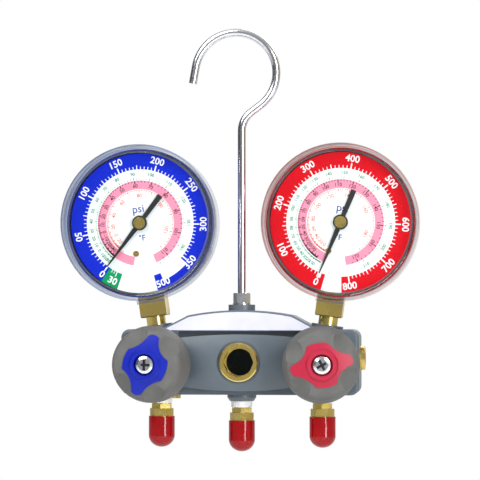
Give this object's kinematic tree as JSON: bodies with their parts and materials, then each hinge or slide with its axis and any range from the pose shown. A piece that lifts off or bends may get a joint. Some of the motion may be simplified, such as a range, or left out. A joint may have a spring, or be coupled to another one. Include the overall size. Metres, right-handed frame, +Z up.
{
  "type": "refrigerant manifold gauge",
  "caption": "Refrigerant service manifold: a slate casting with a sight glass, low and high side valves and dial gauges, capped flare ports below and a hanging hook above.",
  "frame": {"origin": "where the hook bears on what it hangs from, inside the top of its bow on the line of its rod", "axes": "+Z up along the hook's rod, -Y to the front where the dials and knobs face, +X to the high side"},
  "size_m": [0.192, 0.0637, 0.2285],
  "materials": {
    "casting": "satin slate grey paint on a die casting",
    "label": "bare white plate",
    "hook_wire": "bright zinc-plated wire",
    "zinc": "bright zinc plating",
    "brass": "turned and milled brass",
    "bronze": "drawn bronze tube",
    "spring_bronze": "thin bronze strip",
    "sight_glass": "clear glass",
    "seal_rubber": "black rubber",
    "white_nylon": "white nylon",
    "cap_vinyl": "glossy dipped red vinyl",
    "knob_grey": "moulded grey",
    "low_inlay": "moulded blue",
    "high_inlay": "moulded red",
    "low_case": "blue enamel",
    "high_case": "red enamel",
    "clear_lens": "clear polycarbonate",
    "low_dial": "printed white, blue, green and pink",
    "high_dial": "printed white, red, green and pink",
    "pointer_black": "matt black"
  },
  "bodies": {
    "manifold": {"centre_port_fitting": "brass", "drilling_plugs": "brass", "end_plugs": "brass", "high_gauge_case": "high_case", "high_gauge_dial": "high_dial", "high_gauge_lens": "clear_lens", "high_gauge_socket": "brass", "high_hairspring": "spring_bronze", "high_movement_frame": "brass", "high_port_fitting": "brass", "high_valve_bonnet": "brass", "hook": "hook_wire", "hook_jam_nut": "zinc", "hook_washer": "zinc", "label_plate": "label", "low_gauge_case": "low_case", "low_gauge_dial": "low_dial", "low_gauge_lens": "clear_lens", "low_gauge_socket": "brass", "low_hairspring": "spring_bronze", "low_movement_frame": "brass", "low_port_fitting": "brass", "low_valve_bonnet": "brass", "manifold_body": "casting", "port_seal_rings": "white_nylon", "sight_glass_lens": "sight_glass", "sight_glass_ring": "brass", "sight_glass_seal": "seal_rubber"},
    "low_valve_plunger": {"low_valve_piston": "brass", "low_piston_o_rings": "seal_rubber"},
    "low_valve_knob": {"low_valve_stem": "brass", "low_knob_grip": "knob_grey", "low_knob_inlay": "low_inlay", "low_knob_screw": "zinc"},
    "low_pointer_group": {"low_pointer": "pointer_black", "low_pointer_shaft": "brass"},
    "low_sector": {"low_sector_gear": "brass"},
    "low_link": {"low_tip_link": "brass"},
    "low_tube": {"low_bourdon_tube": "bronze"},
    "low_zero_screw": {"low_calibration_screw": "brass"},
    "high_valve_plunger": {"high_valve_piston": "brass", "high_piston_o_rings": "seal_rubber"},
    "high_valve_knob": {"high_valve_stem": "brass", "high_knob_grip": "knob_grey", "high_knob_inlay": "high_inlay", "high_knob_screw": "zinc"},
    "high_pointer_group": {"high_pointer": "pointer_black", "high_pointer_shaft": "brass"},
    "high_sector": {"high_sector_gear": "brass"},
    "high_link": {"high_tip_link": "brass"},
    "high_tube": {"high_bourdon_tube": "bronze"},
    "high_zero_screw": {"high_calibration_screw": "brass"},
    "low_cap": {"low_port_cap": "cap_vinyl"},
    "centre_cap": {"centre_port_cap": "cap_vinyl"},
    "high_cap": {"high_port_cap": "cap_vinyl"}
  },
  "joints": [
    {"name": "low_valve_lift", "type": "slide", "parent": "manifold", "child": "low_valve_plunger", "axis": [-0.0958, -0.9954, 0], "range_m": [0, 0.00313]},
    {"name": "low_valve_turn", "type": "hinge", "parent": "low_valve_plunger", "child": "low_valve_knob", "pos_m": [-0.0418, 0, -0.1764], "axis": [-0.0958, -0.9954, 0], "range_deg": [0, 900]},
    {"name": "low_pointer_sweep", "type": "hinge", "parent": "manifold", "child": "low_pointer_group", "pos_m": [-0.05397, 0, -0.1011], "axis": [0, 1, 0], "range_deg": [-18, 300]},
    {"name": "low_sector_rock", "type": "hinge", "parent": "manifold", "child": "low_sector", "pos_m": [-0.03613, 0, -0.09873], "axis": [0, 1, 0], "range_deg": [-46.35, 2.97]},
    {"name": "low_link_swing", "type": "hinge", "parent": "low_sector", "child": "low_link", "pos_m": [-0.03307, 0, -0.09743], "axis": [0, 1, 0], "range_deg": [-3.07, 48]},
    {"name": "low_tube_flex", "type": "hinge", "parent": "manifold", "child": "low_tube", "pos_m": [-0.05758, 0, -0.13189], "axis": [0, 1, 0], "range_deg": [-3.73, 0.41]},
    {"name": "low_zero_set", "type": "hinge", "parent": "manifold", "child": "low_zero_screw", "pos_m": [-0.05599, 0, -0.11758], "axis": [0, 1, 0], "range_deg": [-180, 180]},
    {"name": "high_valve_lift", "type": "slide", "parent": "manifold", "child": "high_valve_plunger", "axis": [0.0958, -0.9954, 0], "range_m": [0, 0.00313]},
    {"name": "high_valve_turn", "type": "hinge", "parent": "high_valve_plunger", "child": "high_valve_knob", "pos_m": [0.0418, 0, -0.1764], "axis": [0.0958, -0.9954, 0], "range_deg": [0, 900]},
    {"name": "high_pointer_sweep", "type": "hinge", "parent": "manifold", "child": "high_pointer_group", "pos_m": [0.05397, 0, -0.1011], "axis": [0, 1, 0], "range_deg": [0, 328]},
    {"name": "high_sector_rock", "type": "hinge", "parent": "manifold", "child": "high_sector", "pos_m": [0.07178, 0, -0.10374], "axis": [0, 1, 0], "range_deg": [-50.66, 0.2]},
    {"name": "high_link_swing", "type": "hinge", "parent": "high_sector", "child": "high_link", "pos_m": [0.07507, 0, -0.10333], "axis": [0, 1, 0], "range_deg": [-0.2, 51.7]},
    {"name": "high_tube_flex", "type": "hinge", "parent": "manifold", "child": "high_tube", "pos_m": [0.04202, 0, -0.1297], "axis": [0, 1, 0], "range_deg": [-4.04, 0.2]},
    {"name": "high_zero_set", "type": "hinge", "parent": "manifold", "child": "high_zero_screw", "pos_m": [0.04748, 0, -0.11638], "axis": [0, 1, 0], "range_deg": [-180, 180]},
    {"name": "low_cap_pull", "type": "slide", "parent": "manifold", "child": "low_cap", "axis": [0, 0, -1], "range_m": [0, 0.022]},
    {"name": "centre_cap_pull", "type": "slide", "parent": "manifold", "child": "centre_cap", "axis": [0, 0, -1], "range_m": [0, 0.022]},
    {"name": "high_cap_pull", "type": "slide", "parent": "manifold", "child": "high_cap", "axis": [0, 0, -1], "range_m": [0, 0.022]}
  ],
  "couplings": [
    {"joint": "low_valve_turn", "follows": "low_valve_lift", "rad_per_m": 5026.5},
    {"joint": "low_sector_rock", "follows": "low_pointer_sweep", "ratio": -0.15385},
    {"joint": "low_link_swing", "follows": "low_pointer_sweep", "ratio": 0.15935},
    {"joint": "low_tube_flex", "follows": "low_pointer_sweep", "ratio": -0.011749},
    {"joint": "high_valve_turn", "follows": "high_valve_lift", "rad_per_m": 5026.5},
    {"joint": "high_sector_rock", "follows": "high_pointer_sweep", "ratio": -0.15385},
    {"joint": "high_link_swing", "follows": "high_pointer_sweep", "ratio": 0.15701},
    {"joint": "high_tube_flex", "follows": "high_pointer_sweep", "ratio": -0.011709}
  ]
}
